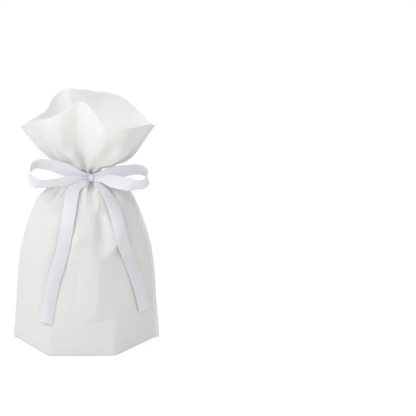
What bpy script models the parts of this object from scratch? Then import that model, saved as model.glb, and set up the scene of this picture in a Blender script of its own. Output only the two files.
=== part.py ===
"""Drawstring gift pouch, filled out, gathered at the neck and tied in a bow.

Metres, +Z up, the front faces -Y. The origin is the middle of the base, on the ground.
"""

import math

import bpy
import numpy as np

# Sheet, ribbon and the clearance between neighbouring pieces
SHEET = 0.0008
RIBBON = 0.0006
GAP = 0.0003

# Body, from the base to the gathered neck
BASE_HALF_WIDTH = 0.0725
BASE_HALF_DEPTH = 0.0340
BASE_FLAT_HALF = 0.0350
BASE_SKEW = -0.0050
BELLY_HALF_DEPTH = 0.0400
TIP_LIFT = 0.0100
SEAM_FLANGE = 0.0040
NECK_HEIGHT = 0.1950
NECK_RADIUS = 0.0140
CHANNEL_WELD = 0.0020
NOTCH_SHARE = 0.19
PLEATS = 7
BODY_PLEAT = 0.0030
MOUTH_PLEAT = 0.0026

# Mouth above the neck
MOUTH_HALF_WIDTH = 0.0700
MOUTH_HALF_DEPTH = 0.0400
MOUTH_RISE = 0.0840
SIDE_FOOT = (0.33, 0.0, -0.22)
SIDE_RISE = (0.05, 0.0, -0.17)

# Gusset
LIP_SHARE = 0.03
GUSSET_SHARE = 0.955
GUSSET_CREST = 0.0070

# Ribbon
RIBBON_WIDTH = 0.0140
KNOT_X = 0.0055
KNOT_HALF = (0.0030, 0.0036, 0.0046)
PINCH = 0.020
PINCHED_LOOP = 0.40
PINCHED_TAIL = 0.25
PINCHED_WRAP = 0.55
TAIL_SPREAD = 0.022
TAIL_CLEAR = 0.0007
TAIL_BEHIND = 0.0010
TAIL_BEND = 0.0015
TAIL_TURN = 0.006
STEEPEST = 0.35

# Shares of the way from the neck radius to the base half width, up the body
WIDTHS = (
    (0.0, 1.0), (0.059, 1.0), (0.161, 0.980), (0.268, 0.953), (0.375, 0.938),
    (0.488, 0.912), (0.590, 0.872), (0.708, 0.793), (0.815, 0.681), (0.869, 0.613),
    (0.922, 0.520), (0.954, 0.430), (0.981, 0.290), (1.0, 0.0),
)
# Shares of the way from the neck radius to the belly half depth
DEPTHS = (
    (0.161, 0.87), (0.320, 0.96), (0.488, 1.0), (0.640, 0.98), (0.750, 0.87),
    (0.815, 0.76), (0.869, 0.65), (0.922, 0.50), (0.965, 0.33), (0.985, 0.20), (1.0, 0.0),
)
# Rim of the mouth: place across the panel, then x, y and z as shares of the mouth's sizes
RIM_FRONT = (
    (-1.0, -1.00, 0.00, 0.63), (-0.75, -0.80, -0.29, 0.72), (-0.50, -0.60, -0.46, 0.78),
    (-0.25, -0.36, -0.46, 0.87), (0.0, -0.06, -0.27, 0.99), (0.15, 0.14, -0.46, 0.87),
    (0.30, 0.31, -0.84, 0.73), (0.50, 0.60, -1.00, 0.74), (0.75, 0.86, -0.62, 0.71),
    (1.0, 1.03, 0.00, 0.63),
)
RIM_BACK = (
    (-1.0, -1.00, 0.00, 0.63), (-0.80, -0.80, 0.31, 0.67), (-0.60, -0.61, 0.63, 0.71),
    (-0.40, -0.46, 0.92, 0.87), (-0.20, -0.28, 0.96, 0.94), (0.0, -0.05, 0.96, 0.93),
    (0.20, 0.20, 0.96, 0.88), (0.40, 0.39, 0.92, 0.86), (0.60, 0.60, 0.75, 0.81),
    (0.80, 0.82, 0.38, 0.69), (1.0, 1.03, 0.00, 0.63),
)
# Loops, from the knot out along the back strand and back along the front one: reach, way
# forward, rise, and the lean of the ribbon's width from level, in degrees
LEFT_LOOP = (
    (0.0000, -0.0008, 0.0010, 88), (0.0105, -0.0005, 0.0048, 84), (0.0250, -0.0030, 0.0098, 84),
    (0.0390, -0.0055, 0.0130, 105), (0.0505, -0.0062, 0.0134, 117), (0.0565, -0.0035, 0.0108, 120),
    (0.0590, 0.0020, 0.0062, 120), (0.0575, 0.0080, 0.0020, 118), (0.0530, 0.0120, -0.0008, 116),
    (0.0470, 0.0126, -0.0016, 116), (0.0350, 0.0108, -0.0014, 116), (0.0235, 0.0076, -0.0008, 112),
    (0.0120, 0.0040, -0.0006, 102), (0.0000, 0.0010, -0.0008, 92),
)
RIGHT_LOOP = (
    (0.0000, -0.0008, 0.0010, 88), (0.0100, -0.0005, 0.0026, 88), (0.0220, -0.0022, 0.0050, 98),
    (0.0320, -0.0040, 0.0066, 110), (0.0430, -0.0050, 0.0074, 117), (0.0510, -0.0036, 0.0062, 112),
    (0.0555, 0.0010, 0.0018, 108), (0.0545, 0.0066, -0.0016, 110), (0.0500, 0.0112, -0.0034, 116),
    (0.0420, 0.0126, -0.0034, 120), (0.0310, 0.0112, -0.0026, 112), (0.0200, 0.0080, -0.0010, 108),
    (0.0100, 0.0040, 0.0004, 98), (0.0000, 0.0010, -0.0008, 92),
)
# Tails: x and z of the centre line down the front
LEFT_TAIL = (
    (0.0028, 0.1895), (-0.0050, 0.1830), (-0.0120, 0.1750), (-0.0174, 0.158), (-0.0258, 0.120),
    (-0.0374, 0.0805), (-0.0450, 0.0360),
)
RIGHT_TAIL = (
    (0.0088, 0.1895), (0.0150, 0.1830), (0.0226, 0.1736), (0.0315, 0.1570), (0.0385, 0.1300),
    (0.0460, 0.1050), (0.0550, 0.0760), (0.0620, 0.0440),
)

BAND_HEIGHT = RIBBON_WIDTH + 2 * CHANNEL_WELD
BAND_LOW = NECK_HEIGHT - BAND_HEIGHT / 2
BAND_HIGH = NECK_HEIGHT + BAND_HEIGHT / 2
SEAM_Y = (SHEET + GAP) / 2 + 0.0001
WRAP_OUT = SHEET / 2 + GAP + RIBBON / 2 + 0.0002
COLUMNS = 42
BODY_ROWS = (
    0.0, LIP_SHARE, 0.08, 0.161, 0.268, 0.375, 0.488, 0.59, 0.67, 0.74, 0.80, 0.85, 0.89, 0.925,
    0.955, 0.981, 1.0,
)
MOUTH_ROWS = (0.08, 0.18, 0.30, 0.42, 0.55, 0.68, 0.80, 0.90, 1.0)

FABRIC = ("pouch_fabric", (0.82, 0.82, 0.80), 0.62, 0.0)
LINING = ("casing_fabric", (0.80, 0.80, 0.78), 0.66, 0.0)
SATIN = ("satin_ribbon", (0.80, 0.80, 0.87), 0.35, 0.0)


def clear_scene():
    for obj in list(bpy.data.objects):
        bpy.data.objects.remove(obj, do_unlink=True)


def material_for(name, look):
    material = bpy.data.materials.new(name + "_" + look[0])
    material.use_nodes = True
    shader = material.node_tree.nodes["Principled BSDF"]
    shader.inputs["Base Color"].default_value = (*look[1], 1.0)
    shader.inputs["Roughness"].default_value = look[2]
    shader.inputs["Metallic"].default_value = look[3]
    return material


def add_solid(name, points, faces, look, smooth=True, origin=(0, 0, 0)):
    """One object from points and faces in world metres, with its own material."""
    base = np.asarray(origin, float)
    mesh = bpy.data.meshes.new(name)
    mesh.from_pydata([tuple(p - base) for p in points], [], faces)
    mesh.update()
    if smooth:
        mesh.polygons.foreach_set("use_smooth", [True] * len(mesh.polygons))
    obj = bpy.data.objects.new(name, mesh)
    obj.location = base
    obj.data.materials.append(material_for(name, look))
    bpy.context.scene.collection.objects.link(obj)
    return obj


def interpolate(table, at):
    """Value of a table of (place, value, ...) rows at one place, along straight runs."""
    rows = np.asarray(table, float)
    return np.array([np.interp(at, rows[:, 0], rows[:, k]) for k in range(1, rows.shape[1])])


def smooth_line(points, count):
    """Points evenly spread along a Catmull-Rom curve through the given ones."""
    given = np.asarray(points, float)
    padded = np.vstack([2 * given[0] - given[1], given, 2 * given[-1] - given[-2]])
    dense = []
    for i in range(len(given) - 1):
        a, b, c, d = padded[i : i + 4]
        for t in np.linspace(0, 1, 24, endpoint=False):
            dense.append(
                0.5
                * (
                    2 * b
                    + (c - a) * t
                    + (2 * a - 5 * b + 4 * c - d) * t * t
                    + (3 * b - a - 3 * c + d) * t * t * t
                )
            )
    dense.append(given[-1])
    dense = np.array(dense)
    steps = np.linalg.norm(np.diff(dense[:, :3], axis=0), axis=1)
    run = np.concatenate([[0], np.cumsum(steps)])
    even = np.linspace(0, run[-1], count)
    return np.stack([np.interp(even, run, column) for column in dense.T], axis=1)


def ease(value):
    value = min(max(value, 0.0), 1.0)
    return value * value * (3 - 2 * value)


def half_width(t):
    share = interpolate(WIDTHS, t)[0]
    return NECK_RADIUS + (BASE_HALF_WIDTH - NECK_RADIUS) * share


def half_depth(t):
    start = (BASE_HALF_DEPTH - NECK_RADIUS) / (BELLY_HALF_DEPTH - NECK_RADIUS)
    share = interpolate(((0.0, start),) + DEPTHS, t)[0]
    return NECK_RADIUS + (BELLY_HALF_DEPTH - NECK_RADIUS) * share


def arc_section(p, a, b):
    """Point on an arc of half width a and depth b; p runs from -1 to 1 along it."""
    theta = 2 * math.atan2(b, a)
    x = a * math.sin(p * theta) / math.sin(theta)
    return x, b * (math.cos(p * theta) - math.cos(theta)) / (1 - math.cos(theta))


def base_section(p, a, b):
    """Point on the base's outline: a straight middle with a slant to each seam."""
    corners = (BASE_SKEW - BASE_FLAT_HALF, BASE_SKEW + BASE_FLAT_HALF)
    xs = (-a, corners[0], corners[1], a)
    ys = (0.0, b, b, 0.0)
    slants = (math.hypot(a + corners[0], b), math.hypot(a - corners[1], b))
    runs = np.cumsum([0.0, slants[0], 2 * BASE_FLAT_HALF, slants[1]])
    at = (p + 1) / 2 * runs[-1]
    ahead = (at - runs[-1]) / slants[1]
    if ahead > 0:
        return a + (a - corners[1]) * ahead, -b * ahead
    if at < 0:
        return -a + (a + corners[0]) * at / slants[0], b * at / slants[0]
    return np.interp(at, runs, xs), np.interp(at, runs, ys)


def corner_places():
    """Places across the panels of the base's two front corners."""
    left = math.hypot(BASE_HALF_WIDTH + BASE_SKEW - BASE_FLAT_HALF, BASE_HALF_DEPTH)
    right = math.hypot(BASE_HALF_WIDTH - BASE_SKEW - BASE_FLAT_HALF, BASE_HALF_DEPTH)
    total = left + 2 * BASE_FLAT_HALF + right
    return 2 * left / total - 1, 1 - 2 * right / total


def tip_lift(p):
    """How far the base's edge has risen at place p, between its flat middle and a seam."""
    left, right = corner_places()
    return TIP_LIFT * min(max(0.0, (left - p) / (left + 1), (p - right) / (1 - right)), 1.0)


def body_point(p, t, side):
    """Middle of the sheet at place p across and share t of the way up, side -1 in front."""
    a = half_width(t)
    b = half_depth(t) - SEAM_Y
    square = ease(1 - t / 0.42)
    ax, ay = arc_section(p, a, b)
    bx, by = base_section(p, a, b)
    x = ax + (bx - ax) * square
    y = SEAM_Y + ay + (by - ay) * square
    z = t * BAND_LOW + tip_lift(p) * max(0.0, 1 - t / 0.25) ** 2
    return np.array([x, side * y, z])


def ring_point(p, z, side, out=0.0):
    angle = p * math.pi / 2
    x = (NECK_RADIUS + out) * math.sin(angle)
    y = SEAM_Y + (NECK_RADIUS + out - SEAM_Y) * math.cos(angle)
    return np.array([x, side * y, z])


def mouth_point(p, m, side):
    """Middle of the sheet at share m of the way from the neck band to the rim."""
    low = ring_point(p, BAND_HIGH, side)
    rim = interpolate(RIM_BACK if side > 0 else RIM_FRONT, p)
    trim = 1 - 0.5 * SEAM_FLANGE / MOUTH_HALF_WIDTH
    high = np.array([
        rim[0] * MOUTH_HALF_WIDTH * trim,
        rim[1] * MOUTH_HALF_DEPTH + side * SEAM_Y,
        NECK_HEIGHT + rim[2] * MOUTH_RISE,
    ])
    step = high - low
    side_share = ease((abs(p) - 0.45) / 0.50)
    first = low + step * ((0.20, 0.22, 0.20) + side_share * np.array(SIDE_FOOT))
    second = low + step * ((0.62, 0.66, 0.62) + side_share * np.array(SIDE_RISE))
    k = 1 - m
    return low * k**3 + 3 * first * k * k * m + 3 * second * k * m * m + high * m**3


def panel_row(edge, flange, point):
    """Points across one row; edge is the seam's place, flange how far the seam margin goes."""
    inner = np.linspace(-edge, edge, COLUMNS - 1)
    row = [point(p) for p in inner]
    if flange is None:
        first = row[0] + (row[0] - row[1]) * 0.2
        last = row[-1] + (row[-1] - row[-2]) * 0.2
    else:
        first = row[0] + flange * (-1, 1, 1)
        last = row[-1] + flange
    return np.array([first] + row + [last])


def flange_step(low, high):
    """The seam margin's step: across the seam line and away from the pouch, on the +X side."""
    run = np.array([high[0] - low[0], 0.0, high[2] - low[2]])
    run /= np.linalg.norm(run)
    return SEAM_FLANGE * np.array([run[2], 0.0, -run[0]])


def smooth_panel(side):
    """Grid of the panel's middle surface without pleats, and each row's pleat depth."""
    rows = []
    pleats = []
    for t in BODY_ROWS:
        low = body_point(1, max(t - 0.02, 0), side)
        high = body_point(1, min(t + 0.02, 1), side)
        step = flange_step(low, high) if t < 1 else None
        if t == 0:
            step = SEAM_FLANGE * np.array([1.0, 0.0, 0.0])
        edge = 1 if t < 1 else 1 - NOTCH_SHARE
        rows.append(panel_row(edge, step, lambda p, t=t: body_point(p, t, side)))
        pleats.append(BODY_PLEAT * ease((t - 0.55) / 0.35) * ease((1 - t) / 0.06))
    for z in (NECK_HEIGHT, BAND_HIGH):
        rows.append(panel_row(1 - NOTCH_SHARE, None, lambda p, z=z: ring_point(p, z, side)))
        pleats.append(0.0)
    for m in MOUTH_ROWS:
        low = mouth_point(1, m - 0.04, side)
        high = mouth_point(1, min(m + 0.04, 1), side)
        step = flange_step(low, high)
        rows.append(panel_row(1, step, lambda p, m=m: mouth_point(p, m, side)))
        pleats.append(MOUTH_PLEAT * ease(m / 0.35))
    return np.array(rows), np.array(pleats)


def grid_normals(grid, side):
    """Unit normals of a grid, pointing away from the pouch on the given side."""
    across = np.gradient(grid, axis=1)
    up = np.gradient(grid, axis=0)
    normal = np.cross(across, up) * -side
    return normal / np.linalg.norm(normal, axis=2, keepdims=True)


def panel_surface(side):
    grid, pleats = smooth_panel(side)
    normal = grid_normals(grid, side)
    place = np.linspace(-1, 1, COLUMNS - 1)
    wave = (1 - np.cos(PLEATS * math.pi * (place + 1))) / 2
    fade = np.array([ease((1 - abs(p)) / 0.12) for p in place])
    inward = np.concatenate([[0], wave * fade, [0]])
    return grid - normal * (pleats[:, None] * inward[None, :])[:, :, None]


def closed_sheet(name, outer, inner, look, smooth=True):
    """Closed solid between two grids; outer's quads wind outwards as the grid is laid."""
    rows, columns = outer.shape[:2]
    count = rows * columns
    points = np.concatenate([outer.reshape(-1, 3), inner.reshape(-1, 3)])
    faces = []
    for r in range(rows - 1):
        for c in range(columns - 1):
            a = r * columns + c
            faces.append((a, a + 1, a + columns + 1, a + columns))
            faces.append((count + a, count + a + columns, count + a + columns + 1, count + a + 1))
    for c in range(columns - 1):
        faces.append((c + 1, c, count + c, count + c + 1))
        a = (rows - 1) * columns + c
        faces.append((a, a + 1, count + a + 1, count + a))
    for r in range(rows - 1):
        a = r * columns
        faces.append((a, a + columns, count + a + columns, count + a))
        b = a + columns - 1
        faces.append((b + columns, b, count + b, count + b + columns))
    return add_solid(name, points, faces, look, smooth)


def make_panel(name, side):
    grid = panel_surface(side)
    normal = grid_normals(grid, side)
    normal[0, :, 2] = 0
    normal[0] /= np.linalg.norm(normal[0], axis=1, keepdims=True)
    near = grid + normal * SHEET / 2
    far = grid - normal * SHEET / 2
    if side > 0:
        near = near[:, ::-1]
        far = far[:, ::-1]
    return closed_sheet(name, near, far, FABRIC)


def make_strip(name, side):
    """The welded strip inside the neck that makes the ribbon's channel."""
    away = SHEET + GAP
    deep = SHEET + 2 * GAP + RIBBON + 0.0001
    places = np.linspace(-1 + NOTCH_SHARE, 1 - NOTCH_SHARE, 25)
    inside = RIBBON_WIDTH / 2 + GAP
    half = BAND_HEIGHT / 2 - 0.0002
    heights = (-half, -inside - 0.0006, -inside, inside, inside + 0.0006, half)
    depths = (away, away, deep, deep, away, away)
    near = []
    far = []
    for height, depth in zip(heights, depths):
        z = NECK_HEIGHT + height
        near.append([ring_point(p, z, side, SHEET / 2 - depth) for p in places])
        far.append([ring_point(p, z, side, -SHEET / 2 - depth) for p in places])
    near = np.array(near)
    far = np.array(far)
    if side > 0:
        near = near[:, ::-1]
        far = far[:, ::-1]
    return closed_sheet(name, near, far, LINING)


def gusset_station(place):
    """Outer and inner points of the gusset across its depth at one place along it."""
    away = SHEET / 2 + GAP + 0.0001
    outer = []
    inner = []
    for side in (-1, 1):
        low = body_point(place, 0.0, side)
        lip = body_point(place, LIP_SHARE, side)
        ahead = body_point(place + 0.01, 0.0, side) - body_point(place - 0.01, 0.0, side)
        inward = np.array([ahead[1], -ahead[0], 0.0]) * side
        inward /= np.linalg.norm(inward)
        up = np.array([0.0, 0.0, SHEET])
        outer.append((lip + inward * away, low + inward * away))
        inner.append((lip + inward * (away + SHEET), low + inward * (away + SHEET) + up))
    crest = GUSSET_CREST * math.sin(math.pi * min(1.0, tip_lift(place) / TIP_LIFT))
    ridge = (outer[0][1] + outer[1][1]) / 2 + (0, 0, crest)
    line = [outer[0][0], outer[0][1], ridge, outer[1][1], outer[1][0]]
    top = [inner[0][0], inner[0][1], ridge + up, inner[1][1], inner[1][0]]
    return line, top


def make_gusset():
    left, right = corner_places()
    places = np.linspace(-1, 1, COLUMNS - 1)
    step = places[1] - places[0]
    kept = [
        p for p in places if abs(p) < GUSSET_SHARE and (p < left + step or p > right - step)
    ]
    stations = [gusset_station(p) for p in kept]
    outer = np.array([s[0] for s in stations])
    inner = np.array([s[1] for s in stations])
    return closed_sheet("bottom_gusset", outer, inner, FABRIC, smooth=False)


def ribbon_solid(name, line, across, widths, thickness, look, origin=(0, 0, 0)):
    """A flat ribbon along a line; across gives its width's direction at each point."""
    along = np.gradient(line, axis=0)
    along /= np.linalg.norm(along, axis=1, keepdims=True)
    across = across - along * (across * along).sum(axis=1, keepdims=True)
    across /= np.linalg.norm(across, axis=1, keepdims=True)
    face = np.cross(along, across)
    half = across * (np.asarray(widths)[:, None] / 2)
    skin = face * thickness / 2
    rings = np.stack([line - half - skin, line + half - skin, line + half + skin,
                      line - half + skin], axis=1)
    count = len(line)
    points = rings.reshape(-1, 3)
    faces = [(3, 2, 1, 0)]
    for i in range(count - 1):
        a = 4 * i
        for k in range(4):
            n = (k + 1) % 4
            faces.append((a + k, a + n, a + 4 + n, a + 4 + k))
    last = 4 * (count - 1)
    faces.append((last, last + 1, last + 2, last + 3))
    return add_solid(name, points, faces, look, smooth=False, origin=origin)


def band_ribbon(name, angles, outs, heights=None):
    """A ribbon round the neck: angles from +X towards +Y in degrees, outs from the radius."""
    line = []
    for angle, out in zip(np.radians(angles), outs):
        r = NECK_RADIUS + out
        line.append((r * math.cos(angle), r * math.sin(angle), NECK_HEIGHT))
    line = np.array(line)
    across = np.tile([0.0, 0.0, 1.0], (len(line), 1))
    widths = RIBBON_WIDTH * (np.ones(len(line)) if heights is None else np.asarray(heights))
    return ribbon_solid(name, line, across, widths, RIBBON, SATIN)


def knot_place():
    back = NECK_RADIUS + WRAP_OUT + RIBBON / 2 - 0.0003
    return np.array([KNOT_X, -(back + KNOT_HALF[1]), NECK_HEIGHT])


def make_neck_ribbons():
    inside = -(SHEET / 2 + GAP + RIBBON / 2 + 0.00005)
    run = np.linspace(12, 168, 27)
    band_ribbon("ribbon_back_run", run, [inside] * len(run))
    start = 12 - math.degrees(GAP * 1.3 / NECK_RADIUS)
    stop = math.degrees(GAP / NECK_RADIUS)
    middle = math.degrees(math.asin(KNOT_X / NECK_RADIUS))
    for name, end, turn in (
        ("ribbon_wrap_right", -90 + middle + stop, 1),
        ("ribbon_wrap_left", -90 - middle + stop, -1),
    ):
        angles = np.concatenate([np.linspace(start, -13, 7), np.linspace(-20, end, 12)])
        outs = [inside + (WRAP_OUT - inside) * ease((start - a) / (start + 13)) for a in angles]
        shares = [1 - (1 - PINCHED_WRAP) * ease((end + 35 - a) / 35) for a in angles]
        if turn < 0:
            angles = 180 - angles
        band_ribbon(name, angles, outs, shares)


def make_knot():
    """The knot's small rounded wrap, a little squared."""
    centre = knot_place()
    rows, columns = 9, 16
    points = [centre + (0, 0, -KNOT_HALF[2])]
    for r in range(1, rows):
        phi = math.pi * r / rows - math.pi / 2
        for c in range(columns):
            angle = 2 * math.pi * c / columns
            flat = np.sign(math.cos(angle)) * abs(math.cos(angle)) ** 0.8
            deep = np.sign(math.sin(angle)) * abs(math.sin(angle)) ** 0.8
            wide = math.cos(phi) ** 0.6
            tall = math.copysign(abs(math.sin(phi)) ** 0.9, phi)
            points.append(centre + (flat * wide * KNOT_HALF[0], deep * wide * KNOT_HALF[1],
                                    tall * KNOT_HALF[2]))
    points.append(centre + (0, 0, KNOT_HALF[2]))
    faces = []
    for c in range(columns):
        n = (c + 1) % columns
        faces.append((0, 1 + n, 1 + c))
        for r in range(rows - 2):
            a = 1 + r * columns
            faces.append((a + c, a + n, a + columns + n, a + columns + c))
        a = 1 + (rows - 2) * columns
        faces.append((a + c, a + n, len(points) - 1))
    return add_solid("bow_knot", points, faces, SATIN)


def make_loop(name, turn, table):
    knot = knot_place()
    root = knot + (turn * (KNOT_HALF[0] + 3 * GAP), 0.0, 0.0)
    route = np.array(table) * (turn, -1, 1, math.pi / 180)
    route = smooth_line(route, 46)
    line = route[:, :3] + root
    lean = route[:, 3]
    across = np.stack([np.zeros(len(line)), np.cos(lean), np.sin(lean)], axis=1) * turn
    far = np.abs(line[:, 0] - root[0])
    widths = RIBBON_WIDTH * np.array([PINCHED_LOOP + (1 - PINCHED_LOOP) * ease(f / PINCH) for f in far])
    return ribbon_solid(name, line, across, widths, RIBBON, SATIN, origin=root)


def front_at(x, z):
    """Depth and outward normal of the smooth front surface at a given x and z."""
    t = min(z / BAND_LOW, 1.0)
    low, high = -1.0, 1.0
    for _ in range(40):
        p = (low + high) / 2
        if body_point(p, t, -1)[0] < x:
            low = p
        else:
            high = p
    here = body_point(p, t, -1)
    across = body_point(min(p + 0.02, 1), t, -1) - body_point(max(p - 0.02, -1), t, -1)
    up = body_point(p, min(t + 0.02, 1), -1) - body_point(p, max(t - 0.02, 0), -1)
    normal = np.cross(across, up)
    return here[1], normal / np.linalg.norm(normal)


def make_tail(name, table):
    knot = knot_place()
    top = knot[2] - KNOT_HALF[2] - GAP - 0.0001
    shift = top - table[0][1]
    away = SHEET / 2 + RIBBON / 2 + TAIL_CLEAR
    rough = smooth_line([(x, 0.0, z + shift * (z > 0.17)) for x, z in table], 30)
    rough = rough[np.argsort(-rough[:, 2])]
    line = []
    across = []
    for i, (x, _, z) in enumerate(rough):
        y, normal = front_at(x, z)
        clear = -y + away / max(-normal[1], STEEPEST)
        start = TAIL_BEHIND - knot[1]
        split = math.hypot(clear - start, TAIL_BEND)
        line.append((x, -(clear + start + split) / 2, z))
        near = ease(0.5 + (clear - start) / TAIL_TURN)
        face = np.array([0.0, -1.0, 0.0]) * (1 - near) + normal * near
        step = rough[min(i + 1, len(rough) - 1)] - rough[max(i - 1, 0)]
        across.append(np.cross(step, face))
    line = np.array(line)
    across = np.array(across)
    across /= np.linalg.norm(across, axis=1, keepdims=True)
    fall = line[0, 2] - line[:, 2]
    shares = [PINCHED_TAIL + (1 - PINCHED_TAIL) * ease(f / TAIL_SPREAD) for f in fall]
    widths = RIBBON_WIDTH * np.array(shares)
    lifts = []
    for point, way, width in zip(line, across, widths):
        need = 0.0
        for share in (-0.5, -0.25, 0.25, 0.5):
            edge = point + way * width * share
            if edge[2] < BAND_LOW:
                y, normal = front_at(edge[0], edge[2])
                need = max(need, edge[1] - y + 0.7 * away / max(-normal[1], STEEPEST))
        lifts.append(need)
    padded = np.pad(lifts, 2, mode="edge")
    line[:, 1] -= np.max([padded[k : k + len(line)] for k in range(5)], axis=0)
    return ribbon_solid(name, line, across, widths, RIBBON, SATIN, origin=line[0])


def main():
    clear_scene()
    make_panel("front_panel", -1)
    make_panel("back_panel", 1)
    make_gusset()
    make_strip("front_casing_strip", -1)
    make_strip("back_casing_strip", 1)
    make_neck_ribbons()
    make_knot()
    make_loop("bow_loop_left", -1, LEFT_LOOP)
    make_loop("bow_loop_right", 1, RIGHT_LOOP)
    make_tail("ribbon_tail_left", LEFT_TAIL)
    make_tail("ribbon_tail_right", RIGHT_TAIL)


main()
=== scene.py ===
"""Drawstring gift pouch: a soft frosted pouch, gathered by a satin ribbon and tied in a bow.

Lengths are metres where a table doesn't say millimetres. +Z is up and the front faces -Y. The
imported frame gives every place; the two panels are draped by a cloth simulation from their flat
cut.
"""

import math

import bpy
import numpy as np
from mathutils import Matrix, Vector
from mathutils.bvhtree import BVHTree


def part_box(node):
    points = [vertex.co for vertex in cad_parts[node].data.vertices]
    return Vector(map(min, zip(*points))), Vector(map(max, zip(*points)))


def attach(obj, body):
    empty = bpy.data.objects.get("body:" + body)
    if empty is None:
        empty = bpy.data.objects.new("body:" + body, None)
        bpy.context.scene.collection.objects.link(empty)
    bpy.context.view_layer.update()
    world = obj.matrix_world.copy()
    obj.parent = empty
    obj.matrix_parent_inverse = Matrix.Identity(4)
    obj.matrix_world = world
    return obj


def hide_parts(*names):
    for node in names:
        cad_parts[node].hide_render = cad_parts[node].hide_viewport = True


bl_info = {
    "name": "Drawstring Gift Pouch",
    "version": (1, 0, 0),
    "blender": (4, 5, 0),
    "location": "View3D > Sidebar > Gift Pouch",
    "description": "Builds a filled drawstring gift pouch with a tied satin bow",
    "category": "Object",
}

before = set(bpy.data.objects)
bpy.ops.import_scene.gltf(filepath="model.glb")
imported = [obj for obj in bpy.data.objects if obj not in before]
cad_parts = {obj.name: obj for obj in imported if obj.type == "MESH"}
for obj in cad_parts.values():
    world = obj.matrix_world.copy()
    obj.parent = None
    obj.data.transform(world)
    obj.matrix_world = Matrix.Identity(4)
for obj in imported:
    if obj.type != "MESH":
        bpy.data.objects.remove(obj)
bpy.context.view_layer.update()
MM = 0.001

# Places that the frame gives
KNOT_LOW, KNOT_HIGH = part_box("bow_knot")
KNOT = (KNOT_LOW + KNOT_HIGH) / 2
RUN_LOW, RUN_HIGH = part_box("ribbon_back_run")
NECK_Z = (RUN_LOW.z + RUN_HIGH.z) / 2

# The filled body, in metres
BASE_HALF_WIDTH = 0.0725
BASE_HALF_DEPTH = 0.034
BASE_FLAT_HALF = 0.035
BASE_SKEW = -0.005
BELLY_HALF_DEPTH = 0.04
BODY_PLEAT = 0.002
PLEAT_START = 0.158
TIP_LIFT = 0.007
SEAM_GAP = 0.0003
GUSSET_CREST = 0.007
GUSSET_CAMBER = 0.0012
GUSSET_INSET = 0.0008
GUSSET_LIFT = 0.0004
# Shares of the body's height over which the base's outline and its lifted tips fade
SQUARE_SHARE = 0.42
TIP_SHARE = 0.25

# The gathered neck with its strips and its ribbon
NECK_RADIUS = 0.014
NECK_X = 0.002
BAND_HALF = 0.009
BODY_TOP = NECK_Z - BAND_HALF
GRIP_HALF = 0.005
GRIP_RADIUS = 0.0115
GRIP_PLEAT = 0.0018
GRIP_FORWARD = 0.0018
CASING_RADIUS = 0.0074
CASING_PLEAT = 0.0014
CASING_HALF = 0.0078
CASING_FLARE = 0.0004
CASING_REACH = 0.80
RUN_RADIUS = 0.0094
WRAP_RADIUS = 0.0158

# The mouth; its last three are where the lines beside the seams bend
MOUTH_FOOT = NECK_Z + BAND_HALF
MOUTH_HALF_WIDTH = 0.068
MOUTH_HALF_DEPTH = 0.04
MOUTH_RISE = 0.084
MOUTH_RADIUS = 0.0125
MOUTH_FORWARD = 0.0022
MOUTH_PLEAT = 0.0026
LEFT_FOOT = (0.21, 0.0, -0.22)
RIGHT_FOOT = (0.37, 0.0, -0.22)
SIDE_RISE = (0.05, 0.0, -0.17)

# The flat cut: height of the drawstring channel's middle and of the rim above the base fold
CUT_CHANNEL = 0.204
CUT_HEIGHT = 0.289
HALF_CUT = 0.0878
NOTCH_START = 0.075
NOTCH_DEPTH = 0.0168
NOTCH_HALF = 0.0068

# Share of the way up the body, then shares from the neck radius to the base half width
WIDTHS = (
    (0.0, 1.0), (0.059, 1.0), (0.161, 0.98), (0.268, 0.953), (0.375, 0.938),
    (0.488, 0.912), (0.59, 0.868), (0.708, 0.772), (0.815, 0.658), (0.869, 0.588),
    (0.922, 0.5), (0.954, 0.42), (0.981, 0.29), (1.0, 0.0),
)
# The same for the half depth
DEPTHS = (
    (0.0, 0.77), (0.161, 0.87), (0.32, 0.96), (0.488, 1.0), (0.64, 0.98), (0.75, 0.87),
    (0.815, 0.76), (0.869, 0.65), (0.922, 0.5), (0.965, 0.33), (0.985, 0.28), (1.0, 0.08),
)
# Rim of the mouth from the left seam: x, y and z as shares of the mouth's sizes
RIM_FRONT = (
    (-0.94, 0.0, 0.63), (-0.77, -0.29, 0.72), (-0.6, -0.46, 0.78), (-0.36, -0.46, 0.87),
    (-0.06, -0.27, 0.99), (0.14, -0.6, 0.895), (0.31, -0.96, 0.75), (0.58, -0.88, 0.718),
    (0.84, -0.5, 0.688), (1.01, 0.0, 0.63),
)
RIM_BACK = (
    (-0.94, 0.0, 0.63), (-0.78, 0.31, 0.67), (-0.61, 0.63, 0.71), (-0.46, 0.92, 0.87),
    (-0.28, 0.96, 0.94), (-0.05, 0.96, 0.93), (0.2, 0.96, 0.9), (0.39, 0.92, 0.89),
    (0.61, 0.75, 0.84), (0.84, 0.4, 0.72), (1.01, 0.0, 0.63),
)
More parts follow.
